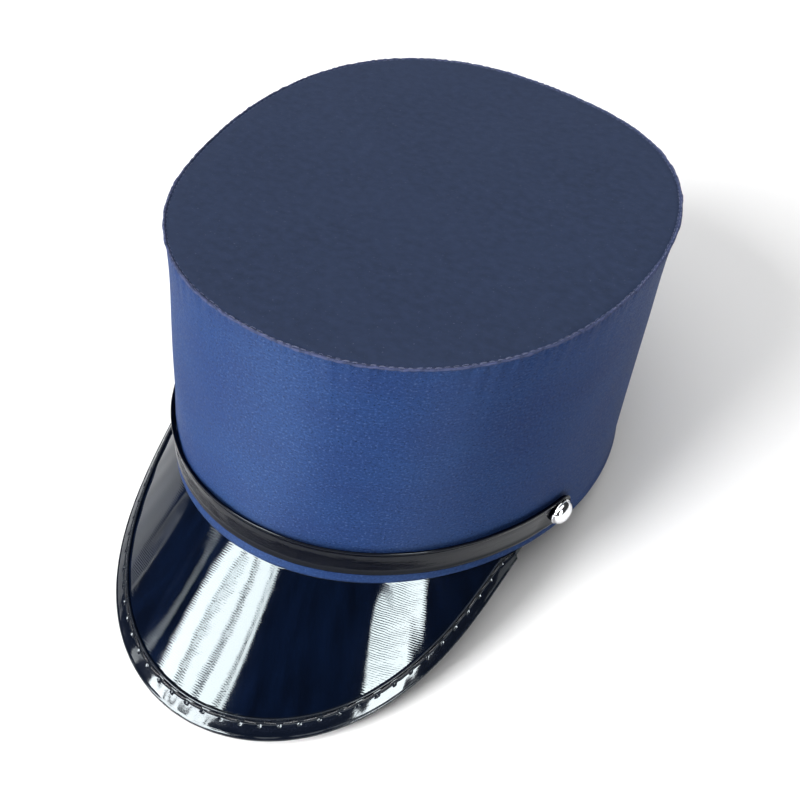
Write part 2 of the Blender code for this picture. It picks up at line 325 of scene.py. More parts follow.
def mathOf(tree, operation, *values):
    return addNode(tree, "ShaderNodeMath", values, operation=operation).outputs[0]


def mixed(tree, part, share, rest):
    # part times share, plus the rest
    return mathOf(tree, "MULTIPLY_ADD", part, share, rest)


def rangeOf(tree, value, low, high, newLow=0.0, newHigh=1.0):
    return addNode(tree, "ShaderNodeMapRange", (value, low, high, newLow, newHigh)).outputs[0]


def blendOf(tree, share, first, second):
    return addNode(tree, "ShaderNodeMix", {0: share, 6: first, 7: second}, data_type="RGBA").outputs[2]


def noiseOf(tree, vector, scale, detail=2.0, roughness=0.5, distortion=0.0):
    return addNode(tree, "ShaderNodeTexNoise", {
        "Vector": vector, "Scale": scale, "Detail": detail, "Roughness": roughness,
        "Distortion": distortion}).outputs["Fac"]


def clothSteps(tree, across, along):
    # the piece's map, which is in metres, counted in steps of these sizes in millimetres
    uv = addNode(tree, "ShaderNodeUVMap", uv_map="cloth").outputs["UV"]
    scale = (1000.0 / across, 1000.0 / along, 1.0)
    return addNode(tree, "ShaderNodeMapping", {"Vector": uv, "Scale": scale}).outputs["Vector"]


def clothNoise(tree, across, along, detail=2.0, roughness=0.5, distortion=0.0, scale=1.0):
    return noiseOf(tree, clothSteps(tree, across, along), scale, detail, roughness, distortion)


def markOf(tree, name):
    # a share kept on the mesh's own points
    return addNode(tree, "ShaderNodeAttribute", attribute_name=name).outputs["Fac"]


def objectPlace(tree):
    return addNode(tree, "ShaderNodeTexCoord").outputs["Object"]


def bumpOf(tree, height, distance, under=None):
    bump = addNode(tree, "ShaderNodeBump", {"Distance": distance, "Height": height})
    if under:
        feed(tree, bump, {"Normal": under})
    return bump.outputs["Normal"]


def wovenHeight(tree, across, up, ridge):
    # over-and-under threads, from 0 to 1, with a rib along each thread
    apart = addNode(tree, "ShaderNodeSeparateXYZ", (clothSteps(tree, across, up),)).outputs
    warp = mathOf(tree, "SINE", mathOf(tree, "MULTIPLY", apart[0], fullTurn))
    weft = mathOf(tree, "SINE", mathOf(tree, "MULTIPLY", apart[1], fullTurn))
    crossed = mathOf(tree, "MULTIPLY", warp, weft)
    return mixed(tree, mathOf(tree, "ADD", crossed, mathOf(tree, "MULTIPLY", weft, ridge)), 0.35, 0.5)


def newMaterial(name):
    material = bpy.data.materials.new(name)
    material.use_nodes = True
    return material, material.node_tree, material.node_tree.nodes["Principled BSDF"]


# Materials: sizes across and along the cloth are in millimetres, bumps in metres

satin = {
    "bright": (0.022, 0.057, 0.180),
    "deep": (0.0105, 0.028, 0.095),
    "violet": (0.015, 0.026, 0.100),
    "fleck": (0.054, 0.088, 0.200),
    "pit": (0.004, 0.010, 0.042),
    "inner": (0.012, 0.017, 0.036),
    "shine": 0.11,
    "shineTint": (0.55, 0.75, 1.0),
    "thread": (0.46, 0.42),
    "ridge": 0.8,
    "slub": (6.0, 0.9),
    "mottle": (1.7, 1.36),
    "cloud": (24.0, 17.0),
    "speck": (0.85, 0.765),
    "pitSize": (0.9775, 0.85),
    # what makes the cloth lighter: shares of the weave, mottles, slubs and specks
    "lightShares": (0.20, 0.60, 0.30, 0.34),
    "rough": (0.46, 0.60),
    "innerRougher": 0.3,
    "bump": 0.00004,
    "bumpShares": (0.8, 0.9, 2.1),  # of the slubs, mottles and specks, the weave being 1
}


def makeSatin():
    material, tree, shader = newMaterial("crownSatin")
    weave = wovenHeight(tree, *satin["thread"], satin["ridge"])
    slubs = clothNoise(tree, *satin["slub"], 3.0)
    mottles = clothNoise(tree, *satin["mottle"], 2.5, 0.6)
    clouds = clothNoise(tree, *satin["cloud"])
    specks = clothNoise(tree, *satin["speck"], 1.5, 0.6)
    pits = clothNoise(tree, *satin["pitSize"], 1.0, scale=1.3)
    weaveShare, mottleShare, slubShare, speckShare = satin["lightShares"]
    light = mixed(tree, weave, weaveShare, mathOf(tree, "MULTIPLY", mottles, mottleShare))
    light = mixed(tree, slubs, slubShare, light)
    light = mixed(tree, rangeOf(tree, specks, 0.34, 0.66), speckShare, light)
    cloth = blendOf(tree, rangeOf(tree, light, 0.38, 1.02), satin["deep"], satin["bright"])
    cloth = blendOf(tree, rangeOf(tree, clouds, 0.35, 0.7, 0.0, 0.35), cloth, satin["violet"])
    cloth = blendOf(tree, rangeOf(tree, specks, 0.60, 0.72, 0.0, 0.85), cloth, satin["fleck"])
    cloth = blendOf(tree, rangeOf(tree, pits, 0.38, 0.28, 0.0, 0.85), cloth, satin["pit"])
    inside = markOf(tree, "inside")
    rough = rangeOf(tree, mottles, 0.3, 0.7, *satin["rough"])
    lie = addNode(tree, "ShaderNodeTangent", direction_type="UV_MAP", uv_map="cloth")
    height = weave
    for part, share in zip((slubs, mottles, specks), satin["bumpShares"]):
        height = mixed(tree, part, share, height)
    feed(tree, shader, {
        "Base Color": blendOf(tree, inside, cloth, satin["inner"]),
        "Roughness": mixed(tree, inside, satin["innerRougher"], rough),
        "Specular IOR Level": satin["shine"],
        "Specular Tint": satin["shineTint"],
        "Anisotropic": 0.85,
        "Anisotropic Rotation": 0.25,
        "Tangent": lie.outputs[0],
        "Normal": bumpOf(tree, height, satin["bump"]),
    })
    return material


topFelt = {
    "light": (0.0180, 0.0305, 0.071),
    "dark": (0.0098, 0.0178, 0.045),
    "fleck": (0.060, 0.076, 0.125),
    # the rolled seam's ridge: the satin-blue edge, lightened by a painted highlight
    "ridge": (0.054, 0.067, 0.146),
    "sheen": 0.04,
    "sheenTint": (0.60, 0.66, 0.80),
    "shine": 0.12,
    "rough": (0.72, 0.9),
    "thread": (0.40, 0.40),
    "threadRidge": 0.2,
    "grain": (0.9, 0.9),
    "mottle": (3.6, 2.8),
    "rubbed": (38.0, 30.0),
    "speck": (0.8, 0.8),
    "patchy": (2.2, 2.2),  # patches along the ridge where its painted highlight fades
    "bump": 0.00004,
}


def makeTopFelt():
    material, tree, shader = newMaterial("topCloth")
    weave = wovenHeight(tree, *topFelt["thread"], topFelt["threadRidge"])
    grain = clothNoise(tree, *topFelt["grain"], 3.0, 0.65)
    rubbed = clothNoise(tree, *topFelt["rubbed"], 3.0, 0.55)
    mottles = clothNoise(tree, *topFelt["mottle"])
    specks = clothNoise(tree, *topFelt["speck"], 1.0)
    light = mixed(tree, mottles, 0.7, mathOf(tree, "MULTIPLY", grain, 0.6))
    base = blendOf(tree, rangeOf(tree, light, 0.42, 0.88), topFelt["dark"], topFelt["light"])
    base = blendOf(tree, rangeOf(tree, rubbed, 0.35, 0.7, 0.0, 0.35), base, topFelt["light"])
    base = blendOf(tree, rangeOf(tree, specks, 0.71, 0.79, 0.0, 0.8), base, topFelt["fleck"])
    # the ridge's colour is partly the satin-blue edge and partly a painted highlight, fading in patches
    highlightBreaks = rangeOf(tree, clothNoise(tree, *topFelt["patchy"], 2.0, 0.6), 0.36, 0.56, 0.25, 1.0)
    ridgeHighlightShare = mathOf(tree, "MULTIPLY", markOf(tree, "edge"), highlightBreaks)
    feed(tree, shader, {
        "Base Color": blendOf(tree, ridgeHighlightShare, base, topFelt["ridge"]),
        "Roughness": rangeOf(tree, grain, 0.3, 0.7, *topFelt["rough"]),
        "Specular IOR Level": topFelt["shine"],
        "Sheen Weight": topFelt["sheen"],
        "Sheen Roughness": 0.6,
        "Sheen Tint": topFelt["sheenTint"],
        "Normal": bumpOf(tree, mixed(tree, grain, 1.2, weave), topFelt["bump"]),
    })
    return material


peakGloss = {
    "black": (0.0008, 0.0022, 0.0075),
    "bluish": (0.0014, 0.0044, 0.0160),
    "lens": 1.52,
    "shine": 0.3,
    "shineTint": (0.86, 0.98, 1.0),
    "rough": (0.035, 0.07),
    "ribPitch": 0.85,  # from rib to rib
    "ribCurve": -0.0030,  # how much less than the rim a rib bends
    "ribWander": (9.0, 5.0),
    "ribShift": 1.4,
    "ribBump": 0.0000055,
    "grain": (1.5, 0.55),
    "grainBump": 0.0000042,
    "smear": (7.0, 30.0),
}


def makePeakGloss():
    material, tree, shader = newMaterial("peakPatent")
    place = addNode(tree, "ShaderNodeSeparateXYZ", (clothSteps(tree, 1.0, 1.0),)).outputs
    squared = mathOf(tree, "MULTIPLY", place[0], place[0])
    along = mixed(tree, squared, peakGloss["ribCurve"], place[1])
    along = mixed(tree, clothNoise(tree, *peakGloss["ribWander"]), peakGloss["ribShift"], along)
    ribs = mathOf(tree, "SINE", mathOf(tree, "MULTIPLY", along, fullTurn / peakGloss["ribPitch"]))
    grain = clothNoise(tree, *peakGloss["grain"], 2.0, 0.6)
    smears = clothNoise(tree, *peakGloss["smear"], 3.0)
    ribNormal = bumpOf(tree, ribs, peakGloss["ribBump"])
    tint = rangeOf(tree, smears, 0.35, 0.7)
    feed(tree, shader, {
        "Base Color": blendOf(tree, tint, peakGloss["black"], peakGloss["bluish"]),
        "Roughness": rangeOf(tree, smears, 0.3, 0.7, *peakGloss["rough"]),
        "IOR": peakGloss["lens"],
        "Specular IOR Level": peakGloss["shine"],
        "Specular Tint": peakGloss["shineTint"],
        "Normal": bumpOf(tree, grain, peakGloss["grainBump"], under=ribNormal),
    })
    return material


bindingPatent = {
    "black": (0.0025, 0.0042, 0.0095),
    "patchy": (0.007, 0.0095, 0.018),
    "shine": 0.32,
    "rough": (0.06, 0.12),
    "bump": 0.00002,
}

strapPatent = {
    "black": (0.0006, 0.0012, 0.005),
    "patchy": (0.002, 0.003, 0.008),
    "shine": 0.15,
    "rough": (0.07, 0.14),
    "bump": 0.00004,
}


def makeStripPatent(name, patent):
    # glossy folded strips: the binding and the strap
    material, tree, shader = newMaterial(name)
    creases = clothNoise(tree, 5.0, 1.6, 3.0, 0.6, 0.4)
    dust = clothNoise(tree, 0.8, 0.8)
    wear = clothNoise(tree, 14.0, 3.0, 3.0)
    dusty = mathOf(tree, "MULTIPLY", wear, rangeOf(tree, dust, 0.3, 0.7, 0.6, 1.2))
    feed(tree, shader, {
        "Base Color": blendOf(tree, rangeOf(tree, dusty, 0.35, 0.8), patent["black"], patent["patchy"]),
        "Roughness": rangeOf(tree, wear, 0.3, 0.7, *patent["rough"]),
        "IOR": 1.5,
        "Specular IOR Level": patent["shine"],
        "Specular Tint": (0.88, 0.97, 1.0),
        "Normal": bumpOf(tree, mixed(tree, dust, 0.2, creases), patent["bump"]),
    })
    return material


chrome = {
    "dull": (0.70, 0.70, 0.71),
    "clean": (0.86, 0.86, 0.88),
    "rough": (0.07, 0.16),
    "bump": 0.00003,
}


def makeChrome():
    material, tree, shader = newMaterial("studChrome")
    marks = clothNoise(tree, 1.0, 1.0, 3.0, scale=1.6)
    rub = clothNoise(tree, 3.0, 0.3)
    feed(tree, shader, {
        "Base Color": blendOf(tree, marks, chrome["dull"], chrome["clean"]),
        "Metallic": 1.0,
        "Roughness": rangeOf(tree, rub, 0.3, 0.7, *chrome["rough"]),
        "Normal": bumpOf(tree, marks, chrome["bump"]),
    })
    return material


seamThread = {
    "dark": (0.032, 0.046, 0.110),
    "light": (0.080, 0.100, 0.210),
    "rough": 0.5,
}

bindingThread = {
    "dark": (0.006, 0.007, 0.012),
    "light": (0.014, 0.015, 0.022),
    "rough": 0.25,
}


def makeThread(name, thread):
    # twisted strands by the piece's own place, since stitches carry no map
    material, tree, shader = newMaterial(name)
    place = objectPlace(tree)
    strands = addNode(tree, "ShaderNodeTexWave", {"Vector": place, "Scale": 900.0, "Distortion": 2.0},
                      bands_direction="DIAGONAL").outputs["Fac"]
    fuzz = noiseOf(tree, place, 700.0)
    feed(tree, shader, {
        "Base Color": blendOf(tree, fuzz, thread["dark"], thread["light"]),
        "Roughness": rangeOf(tree, fuzz, 0.3, 0.7, thread["rough"], thread["rough"] + 0.15),
        "Sheen Weight": 0.2,
        "Sheen Roughness": 0.4,
        "Normal": bumpOf(tree, strands, 0.00005),
    })
    return material


# Crown: satin over a stiff wall, turned in at the foot and gathered under the top's seam

crownCloth = {
    "columnsPerStitch": 4,
    "lowerRows": (0.012, 0.78, 40),  # from and to as shares of the height, and how many
    "upperRows": (0.78, 1.0, 22),
    "innerRows": 16,
    # seed, fewest and most waves round, waves in a metre up
    "gatherWaves": (11, 40, 110, 18.0),
    "puckerWaves": (12, 3, 9, 0.0),
    "slackWaves": (13, 3, 14, 16.0),
    "innerWaves": (14, 5, 22, 20.0),
    "puckers": 74,  # even gathers round the top
    "puckerShift": 1.5,  # how far they stray, in radians of a gather
    "puckerShare": 0.45,  # of the gathers, the rest being uneven
    "puckerDepth": 0.00034,
    "puckerReach": 0.0065,
    "pitDepth": 0.00022,  # at each needle hole, just under the seam
    "pitReach": 0.0013,
    "slackDepth": 0.00030,
    "innerDepth": 0.00008,
    "hemLip": 0.00080,
    "hemHeight": 0.0012,
    "hemFold": ((0.0004, 0.0006, 0.0), (0.004, 0.00015, 0.00015)),  # share of the height, inwards, height
    "footBevel": (0.0004, 0.00025),  # outwards, height
    "reachUp": 0.0012,  # the satin goes on past the wall, up to the seam
    # over the wall's edge and down into it: outwards, share of that way up, share of the inner colour
    "turnIn": ((0.00008, 0.35, 0.0), (0.00017, 0.70, 0.0), (0.00020, 0.95, 0.0), (0.00002, 1.04, 0.0),
               (-0.0006, 0.55, 0.4), (-0.0014, 0.10, 0.4)),
    "backSeamDepth": 0.0005,
    "backSeamHalf": 0.0009,
    "creaseAround": 87.0,
    "creaseShare": 0.80,
    "creaseWide": 3.6,
    "creaseHigh": 0.05,
    "creaseDepth": 0.0006,
}


def makeCrownCloth(material):
    angles = ringAngles(hat["seamStitches"] * crownCloth["columnsPerStitch"])
    pulls = seamPulls(angles)
    normals = outwardOf(seamOutline, angles)
    inwards = -outwardOf(rimOutline, angles)
    fullHeight = crownPoint(angles, 1.0)[1]
    middle = crownPoint(angles, 0.5)[0]
    around = lengthsAlong(np.vstack([middle, middle[:1]]))
    backDistance = np.minimum(around[:-1], around[-1] - around[:-1])
    backSeam = crownCloth["backSeamDepth"] * np.exp(-(backDistance / crownCloth["backSeamHalf"]) ** 2)
    rows = []
    inside = []

    def addRow(points, innerShare=0.0):
        rows.append(points)
        inside.append(innerShare)

    def outside(share):
        outline, height = crownPoint(angles, share)
        below = fullHeight - height
        gathers = ringNoise(angles, height, *crownCloth["gatherWaves"])
        stray = crownCloth["puckerShift"] * ringNoise(angles, 0.0, *crownCloth["puckerWaves"])
        even = np.sin(crownCloth["puckers"] * angles + stray)
        gathers = gathers + crownCloth["puckerShare"] * (even - gathers)
        fade = np.exp(-below / crownCloth["puckerReach"]) * min(1.0, share * 4.0)
        push = -crownCloth["puckerDepth"] * fade * (0.5 + 0.5 * gathers)
        push -= crownCloth["pitDepth"] * np.exp(-(below / crownCloth["pitReach"]) ** 2) * pulls
        slack = ringNoise(angles, height, *crownCloth["slackWaves"]) * abs(math.sin(math.pi * share)) ** 0.7
        push += crownCloth["slackDepth"] * slack
        push -= backSeam
        lift = np.exp(-((height / crownCloth["hemHeight"] - 0.45) / 0.55) ** 2)
        push += crownCloth["hemLip"] * lift
        wide = (np.degrees(angles) - crownCloth["creaseAround"]) / crownCloth["creaseWide"]
        high = (share - crownCloth["creaseShare"]) / crownCloth["creaseHigh"]
        crease = np.exp(-(wide - high * 0.9) ** 2 * 6.0 - (wide + high) ** 2 * 0.5)
        push += crownCloth["creaseDepth"] * crease
        return raised(outline + normals * push[:, None], height)

    for share, inset, height in crownCloth["hemFold"]:
        fold = outside(share)
        fold[:, :2] += inwards * inset
        fold[:, 2] = height
        addRow(fold)
    for share in (*np.linspace(*crownCloth["lowerRows"]), *np.linspace(*crownCloth["upperRows"])[1:]):
        addRow(outside(share))
    edge = rows[-1]
    for outwards, upShare, innerShare in crownCloth["turnIn"]:
        addRow(edge + raised(-inwards * outwards, crownCloth["reachUp"] * upShare), innerShare)
    for share in np.linspace(1.0, 0.0, crownCloth["innerRows"]):
        outline, height = crownPoint(angles, share)
        wave = ringNoise(angles, height, *crownCloth["innerWaves"]) * crownCloth["innerDepth"]
        addRow(raised(outline + inwards * (hat["wall"] + wave)[:, None], height), 1.0)
    bevelOut, bevelUp = crownCloth["footBevel"]
    foot = rows[-1].copy()
    foot[:, :2] -= inwards * bevelOut
    foot[:, 2] = 0.0
    rows[-1][:, 2] = bevelUp
    addRow(foot, 1.0)
    points = np.stack(rows)
    rise = lengthsAlong(points[:, 0])
    cloth = clothMap(around, np.append(rise, rise[-1] + 0.001)[:, None])
    mesh = gridMesh("crownCloth", standing(points), cloth, closedAlong=True,
                    marks={"inside": np.array(inside)[:, None]})
    placePiece(mesh, material, "crown_side")


# Top: a flat panel with a rolled seam, pulled in at every stitch

topCloth = {
    "columnsPerStitch": 4,
    "rings": 21,
    "sectionRows": 36,
    # seed, fewest and most waves round, waves in a metre inwards
    "sagWaves": (21, 1, 5, 14.0),
    "crumpleWaves": (22, 60, 210, 60.0),
    "ridgeWaves": (23, 9, 70, 0.0),
    "sag": 0.00035,
    "stitchDip": 0.00014,
    "stitchDipHalf": 0.10,  # share of the seam's width
    "betweenStitches": 0.25,  # share of the dip that stays between two stitches
    "ridgeWrinkle": 0.00011,
    "ridgeWander": 0.00014,
    "ridgeReach": 0.42,
    # share of the seam's width inwards, share of its thickness up
    "section": ((1.00, 0.00), (0.78, -0.03), (0.60, -0.07), (0.50, -0.09), (0.42, -0.04), (0.34, 0.06),
                (0.24, 0.13), (0.14, 0.12), (0.06, 0.03), (0.01, -0.09), (0.00, -0.20), (0.03, -0.30),
                (0.10, -0.36), (0.30, -0.38)),
    "underside": ((0.8, 0.6), (1.3, 1.0), (2.4, 1.0)),  # share of the seam's width, of the panel down
    "stitchRows": (0.24, 0.52),
}


def seamPoint(angles, widthShare, heightShare):
    outline = offsetOutline(seamOutline, angles, -hat["seamWidth"] * widthShare)
    return raised(outline, topHeight(outline) + hat["seamThickness"] * heightShare)


def makeTopCloth(material):
    angles = ringAngles(hat["seamStitches"] * topCloth["columnsPerStitch"])
    outwards = outwardOf(seamOutline, angles)
    pulls = topCloth["betweenStitches"] + (1.0 - topCloth["betweenStitches"]) * seamPulls(angles)
    inner = seamPoint(angles, 1.0, 0.0)
    centre = inner.mean(axis=0)
    centre[2] = topHeight(centre[None, :2])[0]
    rows = []
    edge = []
    for share in np.linspace(0.05, 1.0, topCloth["rings"] + 1)[:-1]:
        ring = centre + (inner - centre) * share
        calm = math.sin(math.pi * share) ** 0.5
        wave = ringNoise(angles, share * 0.04, *topCloth["sagWaves"]) * calm
        ring[:, 2] += topCloth["sag"] * (wave * share - (1.0 - share))
        rows.append(ring)
        edge.append(0.0)
    stray = ringNoise(angles, 0.0, *topCloth["ridgeWaves"]) * topCloth["ridgeWander"]
    for widthShare, heightShare in smoothPath(topCloth["section"], topCloth["sectionRows"]):
        onRidge = math.exp(-(widthShare / topCloth["ridgeReach"]) ** 4)
        dips = sum(math.exp(-((widthShare - place) / topCloth["stitchDipHalf"]) ** 2)
                   for place in topCloth["stitchRows"])
        crumple = ringNoise(angles, widthShare * 0.004, *topCloth["crumpleWaves"]) * onRidge
        ring = seamPoint(angles, widthShare, heightShare)
        ring[:, 2] += topCloth["ridgeWrinkle"] * crumple - topCloth["stitchDip"] * dips * pulls
        ring[:, :2] += outwards * (stray * onRidge)[:, None]
        rows.append(ring)
        # the edge mark says where the material paints the ridge's lighter colour and highlight
        edge.append(onRidge)
    for widthShare, drop in topCloth["underside"]:
        rows.append(seamPoint(angles, widthShare, -drop * hat["panel"] / hat["seamThickness"]))
        edge.append(0.0)
    points = np.stack(rows)
    tips = centre - [[0.0, 0.0, topCloth["sag"]], [0.0, 0.0, hat["panel"]]]
    cloth = np.concatenate([points[..., :2], points[:, :1, :2]], axis=1)
    mesh = gridMesh("topCloth", standing(points), cloth, tips=standing(tips),
                    marks={"edge": np.array(edge)[:, None]})
    placePiece(mesh, material, "top_panel")


# Peak: straight lines run down and out from the rim, long in front and short at the sides

peak = {
    "length": 0.0613,
    "thickness": 0.0016,
    "spread": 70.7,
    "dropFront": 48.5,
    "dropSide": 66.1,
    "fullness": 1.966,
    "sharpness": 1.411,
    "tuck": 0.0080,
    "ledgeInset": 0.0002,
    "columns": 300,
    "rows": 56,
    "rowCrowding": 1.15,  # the rows lie closer near the rim
    "lowRows": 24,
    "ripple": 0.00010,
    "rippleWaves": ((0.7, 31, 0.010, 0.034), (1.0, 32, 0.030, 0.09)),  # share, seed, shortest, longest
    "mapAcross": 0.025,  # how far out the map's width is measured
    "mapUnder": 0.1,  # where the underside starts in the map
}

binding = {
    "width": 0.0080,
    "thickness": 0.0008,
    "softening": 0.0004,
    "stitchPitch": 0.0068,
    "stitchInset": 0.0054,  # from the outer edge to the row of holes
    "columnsPerStitch": 20,
    "measureSteps": 4001,  # for the length of the row of stitches
    "topRows": 38,
    "holeLength": 0.0005,
    "holePlace": 0.675,
    "holeReach": 0.060,
    "holeDepth": 0.55,
    "holeUneven": 0.3,
    "holeWaves": (42, 0.015, 0.06),  # seed, shortest, longest
    "puff": 0.00004,
    "puffPlace": 0.45,
    "puffReach": 0.25,
    "crumple": 0.00002,
    "crumpleWaves": (41, 0.004, 0.018),
    "squareness": 4.0,  # of the nose, 2 is round
    "noseFrom": 82.0,
    "noseRows": 18,
    # inset share from the outer edge, height over the sheet in metres
    "topSection": ((1.000, 0.00020), (1.000, 0.00062), (0.985, 0.00090), (0.955, 0.00102), (0.920, 0.00094),
                   (0.895, 0.00066), (0.880, 0.00038), (0.830, 0.00026), (0.780, 0.00030), (0.755, 0.00062),
                   (0.725, 0.00082), (0.670, 0.00087), (0.400, 0.00088), (0.200, 0.00086)),
}


def peakExtent(turn):
    return peak["length"] * (1.0 - np.abs(turn) ** peak["fullness"]) ** peak["sharpness"]


def turnOfExtent(extent):
    share = (extent / peak["length"]) ** (1.0 / peak["sharpness"])
    return (1.0 - share) ** (1.0 / peak["fullness"])


def peakFrame(turns):
    # where each line starts, the ways out along the sheet and up from it, and its slope
    angles = turns * math.radians(peak["spread"])
    normal = outwardOf(rimOutline, angles)
    start = offsetOutline(rimOutline, angles, -peak["ledgeInset"])
    drop = np.radians(peak["dropFront"] + (peak["dropSide"] - peak["dropFront"]) * turns * turns)
    out = raised(normal * np.cos(drop)[:, None], -np.sin(drop))
    up = raised(normal * np.sin(drop)[:, None], np.cos(drop))
    return raised(start, -hat["gap"]), out, up, drop


def noseRadius():
    return peak["thickness"] / 2.0 + hat["gap"] + binding["thickness"]


def makePeak(material):
    edgeInset = noseRadius() / 2.0 + hat["gap"]
    end = turnOfExtent(edgeInset + peak["thickness"] / 2.0)
    turns = np.linspace(-end, end, peak["columns"])
    start, out, up, drop = peakFrame(turns)
    angles = turns * math.radians(peak["spread"])
    normal = outwardOf(rimOutline, angles)
    length = peakExtent(turns) - edgeInset
    lowStart = np.minimum(peak["thickness"] * np.tan(drop / 2.0), length * 0.5)
    across = lengthsAlong(start + out * peak["mapAcross"])
    ripple = peak["ripple"] * sum(share * pathNoise(across, *waves) for share, *waves in peak["rippleWaves"])
    outerInset = hat["wall"] + hat["gap"]
    innerInset = outerInset + peak["thickness"]
    rows = []
    mapPlaces = []

    def addRow(points, mapPlace):
        rows.append(points)
        mapPlaces.append(np.broadcast_to(mapPlace, across.shape))

    for height in (peak["tuck"], peak["tuck"] * 0.5, -hat["gap"]):
        wall = crownAtHeight(angles, np.full(len(turns), max(height, 0.0)))
        addRow(raised(wall - normal * outerInset, height), -0.002 - height)
    for share in np.linspace(0.0, 1.0, peak["rows"]) ** peak["rowCrowding"]:
        stay = math.sin(math.pi * min(1.0, share * 1.02)) ** 0.6 if share < 0.98 else 0.0
        addRow(start + out * (length * share)[:, None] + up * (ripple * stay)[:, None], length * share)
    for share in np.linspace(1.0, 0.0, peak["lowRows"]):
        reach = lowStart + (length - lowStart) * share
        addRow(start + out * reach[:, None] - up * peak["thickness"], reach + peak["mapUnder"])
    foot = raised(rimOutline(angles) - normal * innerInset, -hat["gap"] - peak["thickness"])
    addRow(foot, peak["mapUnder"] - 0.002)
    tucked = crownAtHeight(angles, np.full(len(turns), peak["tuck"]))
    addRow(raised(tucked - normal * innerInset, peak["tuck"]), peak["mapUnder"] - 0.01)
    sections = np.stack(rows, axis=1)  # one closed section for each turn
    cloth = clothMap((across - across[-1] / 2.0)[:, None], np.stack(mapPlaces + mapPlaces[:1], axis=1))
    mesh = gridMesh("peakPatent", standing(sections), cloth, capped=True)
    placePiece(mesh, material, "peak")


def bindingTurns():
    # places evenly along the row of stitches, a whole number of stitches long
    lowReach = (peak["thickness"] + hat["gap"]) * math.tan(math.radians(peak["dropSide"]) / 2.0)
    end = turnOfExtent(lowReach + 2.0 * binding["softening"] + noseRadius())
    fine = np.linspace(-end, end, binding["measureSteps"])
    start, out = peakFrame(fine)[:2]
    inset = np.minimum(binding["stitchInset"], peakExtent(fine) * 0.6)
    gone = lengthsAlong(start + out * (peakExtent(fine) - inset)[:, None])
    stitches = round(gone[-1] / binding["stitchPitch"])
    wanted = np.linspace(0.0, gone[-1], stitches * binding["columnsPerStitch"] + 1)
    return np.interp(wanted, gone, fine), wanted, stitches


def bindingSections(turns, wanted, pitch):
    start, out, up, drop = peakFrame(turns)
    edge = peakExtent(turns)
    radius = noseRadius()
    reach = np.minimum(binding["width"], edge - hat["gap"])
    lowDepth = peak["thickness"] + hat["gap"]
    lowStart = np.maximum(edge - binding["width"], lowDepth * np.tan(drop / 2.0))
    scale = np.array([1.0, 1.0 / binding["width"]])
    flat = smoothPath(np.array(binding["topSection"]) * scale, binding["topRows"]) / scale
    fromHole = np.abs((wanted / pitch + 0.5) % 1.0 - 0.5) * pitch
    sizes = 1.0 + binding["holeUneven"] * pathNoise(wanted, *binding["holeWaves"])
    hole = np.exp(-(fromHole / (binding["holeLength"] * sizes)) ** 2)
    between = 0.5 - 0.5 * np.cos(fullTurn * wanted / pitch)
    groove = min(height for inset, height in binding["topSection"][1:])
    rows = []
    for insetShare, height in flat:
        dent = math.exp(-((insetShare - binding["holePlace"]) / binding["holeReach"]) ** 4)
        swell = math.exp(-((insetShare - binding["puffPlace"]) / binding["puffReach"]) ** 4)
        lift = -(height - groove) * dent * hole * binding["holeDepth"] + binding["puff"] * swell * between
        if height > binding["softening"]:
            crumple = pathNoise(wanted + insetShare * 0.004, *binding["crumpleWaves"])
            lift = lift + binding["crumple"] * crumple
        rows.append((edge - reach * insetShare, height + lift))
    power = 2.0 / binding["squareness"]
    for swing in np.radians(np.linspace(binding["noseFrom"], -90.0, binding["noseRows"])):
        forward = abs(math.cos(swing)) ** power
        rise = math.copysign(abs(math.sin(swing)) ** power, swing)
        rows.append((edge - radius + radius * forward, -peak["thickness"] / 2.0 + radius * rise))
    for share in (0.3, 0.6, 0.9):
        away = (edge - radius) * (1 - share) + (lowStart + binding["softening"]) * share
        rows.append((away, -lowDepth - binding["thickness"]))
    rows.append((lowStart, -lowDepth - binding["thickness"] * 0.6))
    rows.append((lowStart, -lowDepth))
    rows.append((edge - radius / 2.0, -lowDepth))
    rows.append((edge - radius / 2.0, hat["gap"]))
    points = []
    for away, height in rows:
        heights = np.broadcast_to(height, edge.shape)
        points.append(start + out * away[:, None] + up * heights[:, None])
    return np.stack(points, axis=1)


def makeBinding(material):
    turns, wanted, stitches = bindingTurns()
    sections = bindingSections(turns, wanted, wanted[-1] / stitches)
    cloth = stripMap(wanted, sections, binding["width"])
    mesh = gridMesh("bindingPatent", standing(sections), cloth, capped=True)
    placePiece(mesh, material, "peak_binding")


# Chin strap: a folded strip, a little proud of the wall, round-ended past the studs

strap = {
    "width": 0.0116,
    "thickness": 0.0015,
    "rise": 0.0042,
    "pastStud": 3.5,
    "endRound": 3.2,
    "endRows": 16,
    "endWidth": 0.12,  # smallest share of the width, at the tip
    "columns": 520,
    "sectionColumns": 54,
    "studAround": 75.6,
    "pressedReach": 6.0,  # degrees either side of a stud where the strip lies flat
    "pressedShare": 0.92,
    "drop": 0.0011,  # how far the lower edge sinks towards the studs
    "dropFrom": 30.0,
    "wander": 0.00012,
    "wanderWaves": (51, 0.02, 0.07),  # seed, shortest, longest
    "puff": 0.00004,
    "puffWaves": (52, 0.008, 0.03),
    "face": (0.25, 0.3),  # shares of the thickness outwards from which the strip is pressed, and puffs
    # share of the width upwards, share of the thickness outwards
    # the face leans down, with a slot behind its top
    "section": ((0.04, 0.00), (0.00, 0.08), (0.00, 0.28), (0.03, 0.44), (0.08, 0.48), (0.13, 0.38),
                (0.18, 0.34), (0.32, 0.44), (0.50, 0.60), (0.68, 0.76), (0.80, 0.84), (0.86, 0.86),
                (0.90, 0.98), (0.945, 1.08), (0.985, 1.02), (1.00, 0.86), (0.985, 0.70), (0.945, 0.58),
                (0.91, 0.42), (0.905, 0.20), (0.905, 0.00)),
}


def strapMiddle():
    return strap["rise"] + strap["width"] / 2.0


